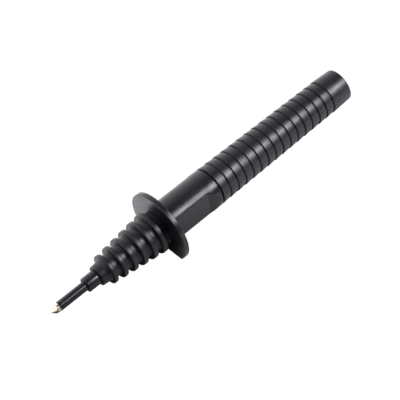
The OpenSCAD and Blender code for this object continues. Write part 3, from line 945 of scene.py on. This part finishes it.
def floor_material():
    """White where the camera sees it; for everything the probe reflects, grey with painted shadow and
    painted dimming, and a painted glow.
    """
    material = bpy.data.materials.new("pale_floor_painted_light")
    material.use_nodes = True
    nodes, links = material.node_tree.nodes, material.node_tree.links
    nodes.clear()
    out = nodes.new("ShaderNodeOutputMaterial")
    swap = nodes.new("ShaderNodeMixShader")
    path = nodes.new("ShaderNodeLightPath")
    paint = nodes.new("ShaderNodeBsdfDiffuse")
    grey, painted_far_glow = painted_floor_light(nodes, links)
    links.new(grey, paint.inputs["Color"])
    # Painted glow: the far floor emits light to stand in for lit floor.
    beyond = nodes.new("ShaderNodeEmission")
    beyond.inputs["Color"].default_value = (*COOL, 1)
    links.new(painted_far_glow, beyond.inputs["Strength"])
    both = nodes.new("ShaderNodeAddShader")
    links.new(paint.outputs[0], both.inputs[0])
    links.new(beyond.outputs[0], both.inputs[1])
    white = nodes.new("ShaderNodeEmission")
    white.inputs["Color"].default_value = (1, 1, 1, 1)
    white.inputs["Strength"].default_value = FLOOR_GLOW
    links.new(path.outputs["Is Camera Ray"], swap.inputs["Fac"])
    links.new(both.outputs[0], swap.inputs[1])
    links.new(white.outputs[0], swap.inputs[2])
    links.new(swap.outputs[0], out.inputs["Surface"])
    return material


def make_floor():
    """Pale floor through the rear edge of the guard's rest flat and the last lip of the grip."""
    slope = math.atan2(REST_FLAT - LIP_R1, TAIL_X0 - DISC_X1)
    edit = bmesh.new()
    bmesh.ops.create_grid(edit, x_segments=1, y_segments=1, size=FLOOR_SIZE)
    floor = to_object("floor", edit)
    floor.rotation_euler = (0, -slope, 0)
    floor.location = (DISC_X1 * MM, 0, (-REST_FLAT - FLOOR_CLEARANCE) * MM)
    floor.data.materials.append(floor_material())


def make_light(name, centre, length, radiance):
    """Rectangular softbox that faces LAMP_AIM, with its length along LAMP_ALONG."""
    data = bpy.data.lights.new(name, "AREA")
    data.shape = "RECTANGLE"
    data.size = length
    data.size_y = LAMP_WIDTH
    data.energy = radiance * math.pi * length * LAMP_WIDTH
    data.color = COOL
    lamp = bpy.data.objects.new(name, data)
    bpy.context.scene.collection.objects.link(lamp)
    back = (Vector(centre) - Vector(LAMP_AIM)).normalized()
    side = (Vector(LAMP_ALONG) - back * back.dot(Vector(LAMP_ALONG))).normalized()
    across = back.cross(side)
    lamp.matrix_world = Matrix((
        (side.x, across.x, back.x, centre[0]), (side.y, across.y, back.y, centre[1]),
        (side.z, across.z, back.z, centre[2]), (0, 0, 0, 1)))


def lobe(nodes, links, place, bearing, power, strength):
    """Glow that fades away from one bearing: strength * max(0, cosine) ** power."""
    facing = nodes.new("ShaderNodeVectorMath")
    facing.operation = "DOT_PRODUCT"
    facing.inputs[1].default_value = bearing
    links.new(place.outputs["Generated"], facing.inputs[0])
    front = math_node(nodes, links, "MAXIMUM", facing.outputs["Value"], 0)
    fade = math_node(nodes, links, "POWER", front, power)
    return math_node(nodes, links, "MULTIPLY", fade, strength)


def make_world():
    """Bright backdrop on the far side and a second glow over the tip, plain white where in view."""
    world = bpy.data.worlds.new("studio")
    world.use_nodes = True
    nodes, links = world.node_tree.nodes, world.node_tree.links
    background = nodes["Background"]
    place = nodes.new("ShaderNodeTexCoord")
    total = ROOM_DIM
    for bearing, power, strength in GLOWS:
        glow = lobe(nodes, links, place, bearing, power, strength)
        total = math_node(nodes, links, "ADD", glow, total)
    path = nodes.new("ShaderNodeLightPath")
    choose = nodes.new("ShaderNodeMix")
    choose.inputs["B"].default_value = 1
    links.new(path.outputs["Is Camera Ray"], choose.inputs["Factor"])
    links.new(total, choose.inputs["A"])
    links.new(choose.outputs["Result"], background.inputs["Strength"])
    links.new(mix_colour(nodes, links, path, COOL, (1, 1, 1)), background.inputs["Color"])
    bpy.context.scene.world = world


def make_camera():
    """Camera from its bearing, height angle, roll and distance to the aim point."""
    az, el = math.radians(CAMERA_AZIMUTH), math.radians(CAMERA_ELEVATION)
    roll = math.radians(CAMERA_ROLL)
    back = Vector((math.sin(az) * math.cos(el), -math.cos(az) * math.cos(el), math.sin(el)))
    level_up = (Vector((0, 0, 1)) - back * back.z).normalized()
    level_right = level_up.cross(back)
    up = level_up * math.cos(roll) + level_right * math.sin(roll)
    right = up.cross(back)
    data = bpy.data.cameras.new("camera")
    data.lens = CAMERA_LENS
    data.sensor_width = SENSOR_WIDTH
    data.clip_start = CLIP_START
    data.clip_end = CLIP_END
    camera = bpy.data.objects.new("camera", data)
    bpy.context.scene.collection.objects.link(camera)
    camera.matrix_world = Matrix((
        (right.x, up.x, back.x, 0), (right.y, up.y, back.y, 0), (right.z, up.z, back.z, 0), (0, 0, 0, 1)))
    camera.location = Vector(CAMERA_AIM) * MM + back * CAMERA_DISTANCE * MM
    bpy.context.scene.camera = camera


# ---------------------------------------------------------------- the scene

make_contact_tip()
make_sleeve()
make_spring()
make_collar()
make_seal()
make_nose()
make_guard_body()
make_grip()
make_receptacle()
make_receptacle_insulator()
make_receptacle_contact()

# The CAD nodes that no new piece stands for
for node, cad in frame["nodes"].items():
    if not cad.hide_render:
        cad.data.materials.clear()
        cad.data.materials.append(MATERIALS[NODE_SLOTS[node]])

make_floor()
make_world()
for lamp_name, lamp_centre, lamp_length, lamp_radiance in LAMPS:
    make_light(lamp_name, lamp_centre, lamp_length, lamp_radiance)
make_camera()
bpy.context.scene.view_settings.view_transform = "Standard"
